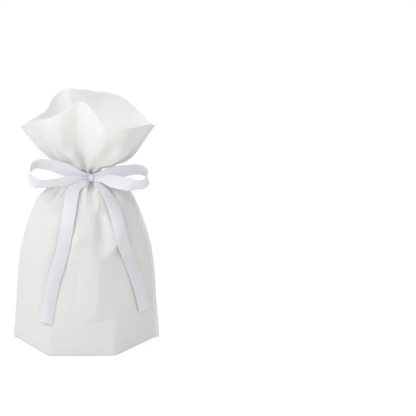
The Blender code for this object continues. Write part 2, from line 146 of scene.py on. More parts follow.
# Pressed folds, in millimetres: x and z of both ends, half width, height out of the sheet
FRONT_FOLDS = (
    (-20, 136, 17, 138, 28, 4.6), (-22, 110, 18, 112.5, 28, 3), (-15, 188, -41, 153, 7, 3.6),
    (-21, 190, -46, 164, 6, -2.8), (-33, 152, -44, 100, 12, 2), (30, 182, 38, 163, 6, 3.4),
    (15, 162, 18.5, 128, 7, -1.6), (14, 116, 9.5, 34, 22, 4.4), (1, 38.5, 31.5, 42, 5, -1.4),
)
MOUTH_FOLDS = (
    (-30, 246, -6, 210, 6, 3), (-40, 232, -12, 206, 6, -2), (-16, 230, -5, 204, 5, 2.6),
    (0, 278, 3, 212, 10, 2.6), (19, 256, 9, 212, 9, 2), (30, 240, 11, 210, 8, -3),
    (40, 234, 18, 208, 8, 2.8),
)
BACK_FOLDS = (
    (24, 176, 44, 140, 11, -4), (-20, 180, -34, 136, 11, 3.5), (6, 184, 10, 132, 10, 4),
    (-6, 184, -12, 144, 8, -4.5), (-44, 164, -55, 134, 9, -3), (-18, 112, -12, 50, 26, 3),
    (30, 116, -12, 122, 18, 2.4), (34, 104, 30, 46, 24, 2.4),
)
# Pressed facets, in millimetres: three corners, each x, z and height, and the reach of the
# slope outside them
FRONT_FACETS = (
    ((19, 158, 0.2), (21.8, 116.5, 4.6), (34.5, 133, 11), 8.5),
    ((-7.5, 150, 2), (-16, 123, -0.4), (-7, 133, 2.4), 9),
    ((40, 172, -3), (51, 142, 1), (47.5, 168, 1), 4.5),
    ((5, 188, -1), (-5, 171, -1.2), (10, 169, -1.2), 3),
    ((11.5, 180, 2.2), (12.5, 164, 2.2), (15, 169, 0.6), 2.4),
)

# The open tube before it is gathered: how far it swells, and the heights over which the
# base's outline and its lifted tips fade
OPEN_SWELL = 0.008
OPEN_SQUARE = 0.06
OPEN_TIP = 0.05
# How firmly the simulated sheet is drawn to its gathered shape, and how far the result follows it
FIRM = 0.85
LOOSE = 0.30
BODY_HOLD = 0.95
MOUTH_HOLD = 0.90
# The simulated sheet and its contact with itself
SHEET_CLOTH = {
    "quality": 8, "mass": 0.05, "air_damping": 4, "tension_stiffness": 40,
    "compression_stiffness": 40, "shear_stiffness": 20, "tension_damping": 10,
    "compression_damping": 10, "shear_damping": 10, "bending_damping": 1,
    "bending_model": "ANGULAR", "vertex_group_mass": "grip", "pin_stiffness": 1,
}
SHEET_CONTACT = {
    "use_collision": False, "use_self_collision": True, "self_distance_min": 0.0012,
    "self_friction": 2, "collision_quality": 2,
}

# Loops, from the knot out along the back strand and back along the front one: reach, way
# forward and rise in millimetres, and the lean of the ribbon's width from level in degrees
LEFT_LOOP = (
    (0, -0.8, 1, 88), (10.5, 1.3, 5, 84), (25, 1.3, 10.6, 86), (39.5, -1.6, 14, 102),
    (51.5, -4.6, 14, 116), (57.8, -3, 11, 120), (60.4, 2, 6.2, 116), (59, 8, 2, 108),
    (54.5, 12, -0.8, 105), (48, 12.6, -1.6, 122), (35, 10.8, -1.4, 122), (23.5, 7.6, -0.8, 116),
    (12, 4, -0.6, 104), (0, 1, -0.8, 92),
)
RIGHT_LOOP = (
    (0, -0.8, 1, 88), (10, 0.9, 4.4, 88), (22, 0.7, 6.8, 94), (32, -0.9, 7.4, 102),
    (43, -2.6, 8.2, 110), (51, -2, 6.6, 110), (55.5, 1, 1.8, 108), (54.5, 6.6, -1.6, 110),
    (50, 11.2, -3.4, 116), (42, 12.6, -3.4, 110), (33, 11.4, -2.8, 68), (20, 8, -1, 58),
    (10, 4, 0.4, 60), (0, 1, -0.8, 78),
)
# Tails, in millimetres: x and z of the centre line down the front
LEFT_TAIL = (
    (2.8, 190.5), (-6, 189.8), (-12.2, 186.2), (-15, 176), (-17.8, 160), (-25, 120),
    (-35.2, 80.5), (-42.5, 36),
)
RIGHT_TAIL = (
    (8.8, 190.5), (15.5, 186.2), (23.2, 176), (31.5, 158), (38.5, 130), (46, 105), (55, 76),
    (62, 44),
)
# The ribbon's width at the knot as a share, and the loops' way to their full width
PINCHED = 0.4
PINCH = 0.02
# The loops' ends beside the knot's middle, and how far they are drawn into the knot
LOOP_ROOT = 0.0039
LOOP_TUCK = 0.0027
# The tails' distance from the sheet: as they hang, and at the least
HANG_GAP = 0.0008
SUPPORT_GAP = 0.0006

# The satin's weave, and the welds' knurling and their distance from the channel's edges
WARP_PITCH = 0.00036
WEFT_PITCH = 0.0006
KNURL = 5200.0
WELD_INSET = 0.001

FLOOR_HALF = 3.0


# ---- Sizes and colours ----


class PouchSettings(bpy.types.PropertyGroup):
    """Sizes and colours of the pouch's sheet."""

    sheet: bpy.props.FloatProperty(
        name="Sheet", description="Thickness of the pouch's sheet",
        default=0.0003, min=0.0001, max=0.0008, unit="LENGTH",
    )
    flange: bpy.props.FloatProperty(
        name="Seam margin", description="Width of the welded margin at each side",
        default=0.0045, min=0.0, max=0.01, unit="LENGTH",
    )
    columns: bpy.props.IntProperty(
        name="Columns", description="Faces across one panel of the simulated cloth",
        default=52, min=20, max=100,
    )
    rows: bpy.props.IntProperty(
        name="Rows", description="Faces up one panel of the simulated cloth",
        default=90, min=30, max=180,
    )
    pleats: bpy.props.IntProperty(
        name="Pleats", description="Gathered pleats across one panel at the neck",
        default=6, min=3, max=16,
    )
    bending: bpy.props.FloatProperty(
        name="Bending", description="Bending stiffness of the sheet in the simulation",
        default=150.0, min=0.5, max=400.0,
    )
    colour: bpy.props.FloatVectorProperty(
        name="Sheet colour", description="Colour of the filled sheet",
        default=(0.80, 0.80, 0.80), size=3, min=0.0, max=1.0, subtype="COLOR",
    )
    filled_glow: bpy.props.FloatProperty(
        name="Filled glow", description="Share of light through the filled sheet",
        default=0.10, min=0.0, max=1.0, subtype="FACTOR",
    )
    # Painted shade: the mouth's front wall gets a slightly darker and warmer copy of the sheet's
    # colour
    front_painted_shade_colour: bpy.props.FloatVectorProperty(
        name="Front mouth colour", description="Colour of the front wall's free sheet",
        default=(0.795, 0.795, 0.787), size=3, min=0.0, max=1.0, subtype="COLOR",
    )
    front_glow: bpy.props.FloatProperty(
        name="Front glow", description="The same share for the mouth's front wall",
        default=0.22, min=0.0, max=1.0, subtype="FACTOR",
    )
    # Painted light: the mouth's back wall gets a much lighter copy of the sheet's colour (0.95
    # against the body's 0.80)
    back_painted_light_colour: bpy.props.FloatVectorProperty(
        name="Back mouth colour", description="Colour of the back wall's free sheet",
        default=(0.95, 0.952, 0.96), size=3, min=0.0, max=1.0, subtype="COLOR",
    )
    glow: bpy.props.FloatProperty(
        name="Back glow", description="The same share for the mouth's back wall",
        default=0.7, min=0.0, max=1.0, subtype="FACTOR",
    )
    seal_colour: bpy.props.FloatVectorProperty(
        name="Weld colour", description="Colour of the welded margins",
        default=(0.86, 0.86, 0.86), size=3, min=0.0, max=1.0, subtype="COLOR",
    )


class RibbonSettings(bpy.types.PropertyGroup):
    """Sizes and colours of the satin ribbon."""

    width: bpy.props.FloatProperty(
        name="Width", description="Width of the ribbon",
        default=0.0140, min=0.004, max=0.03, unit="LENGTH",
    )
    thickness: bpy.props.FloatProperty(
        name="Thickness", description="Thickness between the edges",
        default=0.0004, min=0.0001, max=0.001, unit="LENGTH",
    )
    selvedge: bpy.props.FloatProperty(
        name="Selvedge", description="Width of the woven edge on each side",
        default=0.0007, min=0.0, max=0.002, unit="LENGTH",
    )
    colour: bpy.props.FloatVectorProperty(
        name="Ribbon colour", description="Colour of the satin",
        default=(0.80, 0.79, 0.865), size=3, min=0.0, max=1.0, subtype="COLOR",
    )


class StageSettings(bpy.types.PropertyGroup):
    """Camera and light."""

    distance: bpy.props.FloatProperty(
        name="Distance", description="Camera's distance from the pouch",
        default=4.868, min=0.3, max=9.0, unit="LENGTH",
    )
    elevation: bpy.props.FloatProperty(
        name="Elevation", description="Camera's angle above the floor",
        default=math.radians(21.0), min=0.0, max=1.5, subtype="ANGLE",
    )
    key_power: bpy.props.FloatProperty(
        name="Key", description="Power of the soft lamp at the upper left",
        default=8.6, min=0.0, max=200.0,
    )
    fill_power: bpy.props.FloatProperty(
        name="Fill", description="Power of the front lamp",
        default=6.0, min=0.0, max=200.0,
    )
    top_power: bpy.props.FloatProperty(
        name="Overhead", description="Power of the lamp above the pouch",
        default=4.0, min=0.0, max=200.0,
    )
    ambient: bpy.props.FloatProperty(
        name="Ambient", description="Strength of the surrounding light",
        default=0.605, min=0.0, max=2.0,
    )


# ---- Shader maths ----


def maths(operation, turned=False):
    """A method that adds a Math node; turned puts the other value first."""

    def method(self, *others):
        values = (*others, self) if turned else (self, *others)
        return self.shader.node("ShaderNodeMath", dict(enumerate(values)), operation=operation)

    return method


class Wire:
    """A node socket that adds Math nodes when it is used in an expression."""

    def __init__(self, shader, socket):
        self.shader = shader
        self.socket = socket

    __add__ = __radd__ = maths("ADD")
    __sub__ = maths("SUBTRACT")
    __rsub__ = maths("SUBTRACT", turned=True)
    __mul__ = __rmul__ = maths("MULTIPLY")
    __abs__ = maths("ABSOLUTE")
    sine = maths("SINE")
    at_least = maths("MAXIMUM")

    def clamp(self):
        return self.shader.node("ShaderNodeClamp", {0: self})

    def band(self, low, high):
        """0 below low, 1 above high and smooth between them."""
        values = {"Value": self, "From Min": low, "From Max": high}
        return self.shader.node("ShaderNodeMapRange", values, interpolation_type="SMOOTHSTEP")


class Shader:
    """One material's node tree."""

    def __init__(self, name, tree=None):
        if tree is None:
            material = bpy.data.materials.new(name)
            material.use_nodes = True
            tree = material.node_tree
            self.material = material
        self.tree = tree
        self.tree.nodes.clear()

    def node(self, kind, values=None, output=0, **settings):
        """Adds a node: its settings first, then the values or links of its sockets."""
        made = self.tree.nodes.new(kind)
        for key, value in settings.items():
            setattr(made, key, value)
        for key, value in (values or {}).items():
            socket = made.inputs[key]
            if isinstance(value, Wire):
                self.tree.links.new(value.socket, socket)
            else:
                socket.default_value = value
        return Wire(self, made.outputs[output]) if len(made.outputs) else None

    def mix(self, factor, first, second):
        """A colour mix; the factor may vary."""
        values = {0: factor, 6: first, 7: second}
        return self.node("ShaderNodeMix", values, output=2, data_type="RGBA")

    def noise(self, where, scale, detail=2.0, rough=0.5):
        values = {"Vector": where, "Scale": scale, "Detail": detail, "Roughness": rough}
        return self.node("ShaderNodeTexNoise", values)

    def stretched(self, where, scales):
        """Places scaled along each axis."""
        return self.node("ShaderNodeVectorMath", {0: where, 1: scales}, operation="MULTIPLY")

    def flat_place(self):
        """Places on the flat cut, in metres: across, then along."""
        return self.node("ShaderNodeUVMap", uv_map="cut")

    def object_place(self):
        return self.node("ShaderNodeTexCoord", output=3)

    def across(self, where, axis=0):
        """One coordinate of a place."""
        return self.node("ShaderNodeSeparateXYZ", {0: where}, output=axis)

    def bump(self, height, distance, strength=1.0, normal=None):
        values = {"Height": height, "Distance": distance, "Strength": strength}
        if normal is not None:
            values["Normal"] = normal
        return self.node("ShaderNodeBump", values)

    def finish(self, values):
        surface = self.node("ShaderNodeBsdfPrincipled", values)
        self.node("ShaderNodeOutputMaterial", {"Surface": surface})
        return self.material


def rgba(colour, gain=1.0):
    """An opaque colour, brightened by the gain."""
    return (*(min(1.0, c * gain) for c in colour), 1.0)


def sheet_material(name, settings, colour, glow):
    """Frosted soft sheet: cloudy fibre, faint vertical drag lines, welded margins, and painted
    light that lightens its colour round the gathered neck.
    """
    shader = Shader(name)
    cut = shader.flat_place()
    place = shader.object_place()
    cloud = shader.noise(cut, 260.0, 3.0, 0.6)
    fibre = shader.noise(cut, 1500.0, 2.0, 0.7)
    drag = shader.noise(shader.stretched(cut, (150.0, 9.0, 1.0)), 1.0, 3.0, 0.5)
    crumple = shader.noise(shader.stretched(cut, (42.0, 16.0, 1.0)), 1.0, 2.0, 0.45)
    side = shader.across(cut)
    high = shader.across(cut, 1)
    margin = abs(side).band(HALF_CUT - 0.0008, HALF_CUT + 0.0002)
    knurl = ((side + high) * KNURL).sine() * ((side - high) * KNURL).sine()
    diamond = (knurl * 0.5 + 0.5) * margin
    weld = BAND_HALF - WELD_INSET
    welds = (1 - abs(high - CUT_CHANNEL - weld).band(0.0004, 0.0012)).at_least(
        1 - abs(high - CUT_CHANNEL + weld).band(0.0004, 0.0012)
    )
    sealed = (margin * 0.75).at_least(welds * 0.6)
    clouded = (cloud * 0.6 + drag * 0.4).clamp()
    tint = shader.mix(clouded, rgba(colour, 0.965), rgba(colour, 1.035))
    # Painted light: the colour is lightened by 15% in a band round the neck, where the gathered
    # pleats lie in shade
    painted_neck_light = 1 - abs(high - CUT_CHANNEL).band(0.004, 0.020)
    tint = shader.mix(painted_neck_light, tint, rgba(colour, 1.15))
    tint = shader.mix(sealed, tint, rgba(settings.seal_colour))
    rough = 0.50 + cloud * 0.12 + fibre * 0.06 - sealed * 0.10
    relief = shader.bump(crumple, 0.0016, 0.35)
    relief = shader.bump(drag, 0.0006, 0.35, relief)
    relief = shader.bump(fibre * 0.5 + shader.noise(place, 900.0, 2.0) * 0.5, 0.00008, 0.5, relief)
    relief = shader.bump(diamond - sealed * 0.6, 0.00012, 0.6, relief)
    return shader.finish({
        "Base Color": tint,
        "Roughness": rough,
        "Normal": relief,
        "Specular IOR Level": 0.35,
        "Subsurface Weight": glow,
        "Subsurface Radius": (0.006, 0.006, 0.006),
        "Subsurface Scale": 1.0,
        "Sheen Weight": 0.12,
        "Sheen Roughness": 0.5,
    })


def ribbon_material(name, settings):
    """Polyester satin: fine warp along the ribbon, weft ribs and corded selvedges."""
    shader = Shader(name)
    cut = shader.flat_place()
    side = shader.across(cut)
    along = shader.across(cut, 1)
    half = settings.width / 2
    edge = abs(side).band(half - settings.selvedge, half - settings.selvedge * 0.6)
    warp = (side * (2 * math.pi / WARP_PITCH)).sine() * 0.5 + 0.5
    weft = (along * (2 * math.pi / WEFT_PITCH)).sine() * 0.5 + 0.5
    floats = shader.noise(shader.stretched(cut, (5200.0, 500.0, 1.0)), 1.0, 2.0, 0.6)
    soft = shader.noise(shader.stretched(cut, (160.0, 40.0, 1.0)), 1.0, 2.0, 0.5)
    uneven = (floats * 0.5 + soft * 0.5).clamp()
    tint = shader.mix(uneven, rgba(settings.colour, 0.955), rgba(settings.colour, 1.04))
    tint = shader.mix(edge * (0.35 + weft * 0.3), tint, rgba(settings.colour, 0.90))
    rough = 0.34 + floats * 0.16 + edge * 0.15
    relief = shader.bump(soft, 0.0004, 0.4)
    relief = shader.bump(warp * 0.35 + floats * 0.65, 0.00003, 0.6, relief)
    relief = shader.bump(weft * (0.25 + edge * 0.75), 0.00006, 0.6, relief)
    return shader.finish({
        "Base Color": tint,
        "Roughness": rough,
        "Normal": relief,
        "Specular IOR Level": 0.45,
        "Subsurface Weight": 0.4,
        "Subsurface Radius": (0.004, 0.004, 0.004),
        "Subsurface Scale": 1.0,
        "Sheen Weight": 0.2,
        "Sheen Roughness": 0.35,
    })


# ---- Mesh helpers ----


def ease(value):
    """A smooth step from 0 to 1."""
    value = np.clip(value, 0.0, 1.0)
    return value * value * (3 - 2 * value)


def look_up(table, at):
    """The value in a table's second column at a place in its first."""
    return np.interp(at, *np.transpose(table))


def run_length(line):
    """Distance along a line at each of its points."""
    steps = np.linalg.norm(np.diff(line, axis=0), axis=1)
    return np.concatenate([[0], np.cumsum(steps)])


def smooth_line(points, count):
    """Points evenly spread along a Catmull-Rom curve through the given ones."""
    given = np.asarray(points, float)
    padded = np.vstack([2 * given[0] - given[1], given, 2 * given[-1] - given[-2]])
    dense = []
    for i in range(len(given) - 1):
        a, b, c, d = padded[i : i + 4]
        for t in np.linspace(0, 1, 24, endpoint=False):
            curve = 2 * b + (c - a) * t + (2 * a - 5 * b + 4 * c - d) * t * t
            dense.append(0.5 * (curve + (3 * b - a - 3 * c + d) * t * t * t))
    dense.append(given[-1])
    dense = np.array(dense)
    run = run_length(dense[:, :3])
    even = np.linspace(0, run[-1], count)
    return np.stack([np.interp(even, run, column) for column in dense.T], axis=1)


def grid_faces(rows, columns, closed=False):
    """Faces between the points of a grid, row by row; closed joins its last column to its first."""
    faces = []
    for low in range(0, (rows - 1) * columns, columns):
        for c in range(columns if closed else columns - 1):
            n = (c + 1) % columns
            faces.append((low + c, low + n, low + columns + n, low + columns + c))
    return faces


def evened(values, reach):
    """Values averaged with their neighbours along a line."""
    kernel = np.hanning(2 * reach + 3)[1:-1]
    kernel /= kernel.sum()
    padded = np.concatenate([[values[0]] * reach, values, [values[-1]] * reach])
    return np.apply_along_axis(np.convolve, 0, padded, kernel, "valid")


def unit(vectors):
    return vectors / np.linalg.norm(vectors, axis=-1, keepdims=True)


def add_object(name, data):
    made = bpy.data.objects.new(name, data)
    bpy.context.scene.collection.objects.link(made)
    return made


def add_piece(name, points, faces, cut, material, body):
    """A smooth piece from points, faces and each point's place on the flat cut."""
    mesh = bpy.data.meshes.new(name)
    mesh.from_pydata([tuple(p) for p in points], [], faces)
    mesh.update()
    mesh.polygons.foreach_set("use_smooth", [True] * len(mesh.polygons))
    layer = mesh.uv_layers.new(name="cut")
    corner = np.empty(len(mesh.loops), np.int32)
    mesh.loops.foreach_get("vertex_index", corner)
    layer.data.foreach_set("uv", np.asarray(cut, np.float32)[corner].ravel())
    mesh.materials.append(material)
    piece = add_object(name, mesh)
    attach(piece, body)
    return piece


def satin():
    """The ribbon's material, made once for all its pieces."""
    made = bpy.data.materials.get("ribbon_satin")
    return made or ribbon_material("ribbon_satin", bpy.context.scene.gift_ribbon)


def add_ribbon(name, line, across, widths, body, cup=0.0):
    """A ribbon along a line: thin between two corded edges, slightly cupped across."""
    settings = bpy.context.scene.gift_ribbon
    along = unit(np.gradient(line, axis=0))
    across = unit(across - along * (across * along).sum(axis=1, keepdims=True))
    face = np.cross(along, across)
    cord = settings.selvedge / settings.width
    places = np.array([-0.5, -0.5 + cord * 0.5, -0.5 + cord, -0.5 + cord * 1.6, -0.33, -0.17, 0.0])
    places = np.concatenate([places, -places[-2::-1]])
    skin = np.full(len(places), 0.5)
    skin[[0, -1]] = 0.12
    skin[[1, -2]] = 0.72
    skin[[2, -3]] = 0.66
    skin = skin * settings.thickness
    bow = cup * (1 - (2 * places) ** 2)
    run = run_length(line)
    rings = []
    cut = []
    for side in (1, -1):
        order = slice(None) if side > 0 else slice(None, None, -1)
        for place, depth, lift in zip(places[order], skin[order], bow[order]):
            out = side * depth + lift * widths
            rings.append(line + across * (place * widths)[:, None] + face * out[:, None])
            cut.append(np.stack([np.full(len(run), place * settings.width), run], axis=1))
    points = np.stack(rings, axis=1)
    cut = np.stack(cut, axis=1)
    count, ring = points.shape[:2]
    faces = [(a, d, c, b) for a, b, c, d in grid_faces(count, ring, closed=True)]
    half = ring // 2
    for row, turn in ((0, 1), (count - 1, -1)):
        for k in range(half - 1):
            quad = (k, k + 1, ring - 2 - k, ring - 1 - k)
            faces.append(tuple(row * ring + q for q in quad[::turn]))
    return add_piece(
        name, points.reshape(-1, 3), faces, cut.reshape(-1, 2), satin(), body
    )


# ---- The pouch's shape ----


def arc_section(p, a, b):
    """Point on an arc of half width a and depth b; p runs from -1 to 1 along it."""
    theta = 2 * math.atan2(b, a)
    x = a * math.sin(p * theta) / math.sin(theta)
    return x, b * (math.cos(p * theta) - math.cos(theta)) / (1 - math.cos(theta))


def base_section(p, a, b):
    """Point on the base's outline: a straight middle with a slant to each seam."""
    corners = (BASE_SKEW - BASE_FLAT_HALF, BASE_SKEW + BASE_FLAT_HALF)
    xs = (-a, corners[0], corners[1], a)
    ys = (0.0, b, b, 0.0)
    slants = (math.hypot(a + corners[0], b), math.hypot(a - corners[1], b))
    runs = np.cumsum([0.0, slants[0], 2 * BASE_FLAT_HALF, slants[1]])
    at = (p + 1) / 2 * runs[-1]
    ahead = (at - runs[-1]) / slants[1]
    if ahead > 0:
        return a + (a - corners[1]) * ahead, -b * ahead
    if at < 0:
        return -a + (a + corners[0]) * at / slants[0], b * at / slants[0]
    return np.interp(at, runs, xs), np.interp(at, runs, ys)


def corner_places():
    """Places across the panels of the base's two front corners."""
    left = math.hypot(BASE_HALF_WIDTH + BASE_SKEW - BASE_FLAT_HALF, BASE_HALF_DEPTH)
    right = math.hypot(BASE_HALF_WIDTH - BASE_SKEW - BASE_FLAT_HALF, BASE_HALF_DEPTH)
    total = left + 2 * BASE_FLAT_HALF + right
    return 2 * left / total - 1, 1 - 2 * right / total


def tip_lift(p):
    """How far the base's edge has risen at place p, between its flat middle and a seam."""
    left, right = corner_places()
    return TIP_LIFT * min(max(0.0, (left - p) / (left + 1), (p - right) / (1 - right)), 1.0)


def body_point(p, t, side):
    """Middle of the filled sheet at place p across and share t of the way up to the neck."""
    a = NECK_RADIUS + (BASE_HALF_WIDTH - NECK_RADIUS) * look_up(WIDTHS, t)
    b = NECK_RADIUS + (BELLY_HALF_DEPTH - NECK_RADIUS) * look_up(DEPTHS, t)
    square = ease(1 - t / SQUARE_SHARE)
    ax, ay = arc_section(p, a, b)
    bx, by = base_section(p, a, b)
    z = t * BODY_TOP + tip_lift(p) * max(0.0, 1 - t / TIP_SHARE) ** 2
    return np.array([ax + (bx - ax) * square, side * (ay + (by - ay) * square), z])


def crease(turns):
    """A wave of flat facets between sharp ridges at whole turns, from -1 to 1."""
    return 1 - 4 * abs((turns + 0.5) % 1 - 0.5)


class Mouth:
    """The open mouth of one panel, from the neck out to its rim."""

    def __init__(self, side, pleats):
        self.side = side
        self.pleats = pleats
        table = RIM_BACK if side > 0 else RIM_FRONT
        rim = [
            (x * MOUTH_HALF_WIDTH, y * MOUTH_HALF_DEPTH, NECK_Z + z * MOUTH_RISE)
            for x, y, z in table
        ]
        self.rim = smooth_line(rim, 161)

    def corners(self, p):
        """The four control points of the line at place p across the panel."""
        angle = p * math.pi / 2
        way = np.array([math.sin(angle), self.side * math.cos(angle), 0.0])
        forward = MOUTH_FORWARD * math.cos(angle) if self.side < 0 else 0.0
        low = way * (MOUTH_RADIUS + forward) + (NECK_X, 0.0, MOUTH_FOOT)
        places = np.linspace(-1, 1, len(self.rim))
        high = np.array([np.interp(p, places, column) for column in self.rim.T])
        step = high - low
        side = ease((abs(p) - 0.45) / 0.50)
        foot = np.array(RIGHT_FOOT if p > 0 else LEFT_FOOT)
        first = low + step * ((0.20, 0.22, 0.20) + side * foot)
        second = low + step * ((0.62, 0.66, 0.62) + side * np.array(SIDE_RISE))
        return low, first, second, high, way, 1 - side

    def line(self, p, length, count=60):
        """Points up the line at place p, swelling outwards until it has the cloth's length."""
        low, first, second, high, way, free = self.corners(p)
        m = np.linspace(0, 1, count)[:, None]
        k = 1 - m
        least, most = -0.004, 0.030
        for _ in range(14):
            swell = (least + most) / 2
            near = first + way * swell * free * 0.7
            far = second + way * swell * free
            line = low * k**3 + 3 * near * k * k * m + 3 * far * k * m * m + high * m**3
            if run_length(line)[-1] < length:
                least = swell
            else:
                most = swell
        pleat = crease(self.pleats * (p + 1) / 2)
        reach = 0.62 + 0.22 * math.sin(5.3 * p + 1.7 * self.side)
        fade = np.clip(1 - m / reach, 0, 1) ** 1.4 * (1 + 1.5 * m)
        return line + way * pleat * MOUTH_PLEAT * fade


def fold_height(points, folds):
    """How far pressed folds stand out of the sheet at given points."""
    total = np.zeros(len(points))
    for x0, z0, x1, z1, half, height in np.multiply(folds, MM):
        start = np.array([x0, z0])
        step = np.array([x1, z1]) - start
        length = np.linalg.norm(step)
        away = points[:, [0, 2]] - start
        share = (away @ step) / length**2
        off = np.abs(away[:, 0] * step[1] - away[:, 1] * step[0]) / length
        ends = ease((share + 0.15) / 0.35) * ease((1.1 - share) / 0.45)
        total += 1.25 * height * ends * np.clip(1 - off / half, 0, 1)
    return total


def facet_height(points, facets):
    """Height of the pressed facets at points on the sheet."""
    total = np.zeros(len(points))
    spots = points[:, [0, 2]]
    for first, second, third, reach in facets:
        corners = np.array([first, second, third]) * MM
        near = np.full(len(points), np.inf)
        height = np.zeros(len(points))
        for a, b in ((0, 1), (1, 2), (2, 0)):
            step = corners[b, :2] - corners[a, :2]
            share = np.clip((spots - corners[a, :2]) @ step / (step @ step), 0, 1)
            apart = np.linalg.norm(spots - corners[a, :2] - share[:, None] * step, axis=1)
            closer = apart < near
            near[closer] = apart[closer]
            edge = corners[a, 2] + (corners[b, 2] - corners[a, 2]) * share
            height[closer] = edge[closer]
        sides = (corners[1:, :2] - corners[0, :2]).T
        weights = np.linalg.solve(sides, (spots - corners[0, :2]).T)
        inside = (weights >= 0).all(axis=0) & (weights.sum(axis=0) <= 1)
        flat = corners[0, 2] + (corners[1:, 2] - corners[0, 2]) @ weights
        total += np.where(inside, flat, height * np.clip(1 - near / (reach * MM), 0, 1))
    return total


def neck_ring(angle, pleats, middle, depth):
    """Pleated ring of the gathered neck: radius at each angle."""
    return middle + depth * np.cos(2 * pleats * angle)


class Cloth:
    """The pouch's two panels as one tube of cloth, from its flat cut to its gathered shape."""

    def __init__(self, settings):
        self.pleats = settings.pleats
        self.spread(settings.rows + 1, settings.columns)
        self.start = np.array([[self.open_point(h, f) for f in self.share] for h in self.height])
        self.target = self.gathered()

    def spread(self, rows, half):
        """Sets the rows' heights on the cut and the columns' shares round the tube."""
        self.rows = rows
        self.half = half
        self.columns = 2 * half
        self.height = np.linspace(0, CUT_HEIGHT, rows)
        self.share = np.arange(self.columns) / self.columns

    @staticmethod
    def place(share):
        """Place across a panel and its side, from the share round the tube."""
        if share < 0.5:
            return share * 4 - 1, -1
        return 1 - (share - 0.5) * 4, 1

    def open_point(self, h, share):
        """Where a point of the cloth starts, on the open tube."""
        p, side = self.place(share)
        lens = arc_section(p, BASE_HALF_WIDTH, BASE_HALF_DEPTH + OPEN_SWELL * ease(h / OPEN_SQUARE))
        base = base_section(p, BASE_HALF_WIDTH, BASE_HALF_DEPTH)
        square = ease(1 - h / OPEN_SQUARE)
        x = lens[0] + (base[0] - lens[0]) * square
        y = lens[1] + (base[1] - lens[1]) * square
        return x, side * y, h + tip_lift(p) * max(0, 1 - h / OPEN_TIP) ** 2

    def gathered(self):
        """Where each point would like to be once the pouch is filled and tied."""
        band = BAND_HALF - 0.0005
        low = CUT_CHANNEL - band
        high = CUT_CHANNEL + band
        target = np.zeros((self.rows, self.columns, 3))
        mouths = {side: Mouth(side, self.pleats) for side in (-1, 1)}
        t = np.linspace(0, 1, 80)
        for c, share in enumerate(self.share):
            p, side = self.place(share)
            run = run_length(np.array([body_point(p, s, side) for s in t]))
            mouth = mouths[side].line(p, CUT_HEIGHT - high)
            mouth_run = run_length(mouth)
            for r, h in enumerate(self.height):
                if h < low:
                    target[r, c] = body_point(p, np.interp(run[-1] * h / low, run, t), side)
                    angle = p * math.pi / 2
                    pleat = crease(self.pleats * (p + 1) / 2) * BODY_PLEAT
                    pleat *= ease((h - PLEAT_START) / 0.030)
                    target[r, c] += (pleat * math.sin(angle), side * pleat * math.cos(angle), 0)
                elif h > high:
                    want = mouth_run[-1] * (h - high) / (CUT_HEIGHT - high)
                    target[r, c] = [np.interp(want, mouth_run, k) for k in mouth.T]
                else:
                    angle = p * math.pi / 2
                    ring = np.array([math.sin(angle), side * math.cos(angle)]) * NECK_RADIUS
                    target[r, c] = (*ring, NECK_Z + h - CUT_CHANNEL)
        gripped = np.abs(self.height - CUT_CHANNEL) < GRIP_HALF
        angle = self.share * 2 * math.pi
        radius = neck_ring(angle, self.pleats, GRIP_RADIUS, GRIP_PLEAT)
        target[gripped, :, 0] = -radius * np.cos(angle) + NECK_X
        swell = GRIP_FORWARD * np.clip(np.sin(angle), 0, 1)
        target[gripped, :, 1] = -(radius + swell) * np.sin(angle)
        return target

    def press_folds(self, grid):
        """Presses the creases that handling left in the sheet."""
        normal = self.normals(grid)
        front = slice(0, self.half)
        back = slice(self.half, self.columns)
        body = self.height < CUT_CHANNEL - BAND_HALF
        mouth = self.height > CUT_CHANNEL + BAND_HALF
        for rows, columns, folds, facets in (
            (body, front, FRONT_FOLDS, FRONT_FACETS),
            (body, back, BACK_FOLDS, ()),
            (mouth, front, MOUTH_FOLDS, ()),
        ):
            area = grid[rows, columns]
            spots = area.reshape(-1, 3)
            out = fold_height(spots, folds) + facet_height(spots, facets)
            out = out.reshape(area.shape[:2])
            grid[rows, columns] = area + normal[rows, columns] * out[:, :, None]

    def refine(self, grid):
        """Halves the spacing of the grid on smooth curves through its points."""
        around = (
            9 * (grid + np.roll(grid, -1, axis=1))
            - np.roll(grid, 1, axis=1) - np.roll(grid, -2, axis=1)
        ) / 16
        wide = np.stack([grid, around], axis=2).reshape(len(grid), -1, 3)
        beyond = np.concatenate([[2 * wide[0] - wide[1]], wide, [2 * wide[-1] - wide[-2]]])
        between = (9 * (beyond[1:-2] + beyond[2:-1]) - beyond[:-3] - beyond[3:]) / 16
        tall = np.empty((2 * len(wide) - 1, wide.shape[1], 3))
        tall[::2] = wide
        tall[1::2] = between
        self.spread(len(tall), 2 * self.half)
        return tall

    def settled(self, draped):
        """The draped cloth, drawn to the filled shape where the contents hold it smooth."""
        h = self.height[:, None, None]
        body = BODY_HOLD * ease((CUT_CHANNEL - h) / 0.022)
        mouth = MOUTH_HOLD * ease((h - CUT_CHANNEL - 0.002) / 0.016)
        hold = np.maximum(body, mouth)
        return draped * (1 - hold) + self.target * hold

    @staticmethod
    def normals(grid):
        """Unit normals that point out of the pouch."""
        across = np.roll(grid, -1, axis=1) - np.roll(grid, 1, axis=1)
        up = np.gradient(grid, axis=0)
        return unit(np.cross(across, up))

    def faces(self):
        return grid_faces(self.rows, self.columns, closed=True)

    def grip(self):
        """How firmly each point is drawn to the gathered shape, from 0 to 1."""
        h = self.height[:, None]
        seam = np.abs(np.array([self.place(f)[0] for f in self.share]))[None, :]
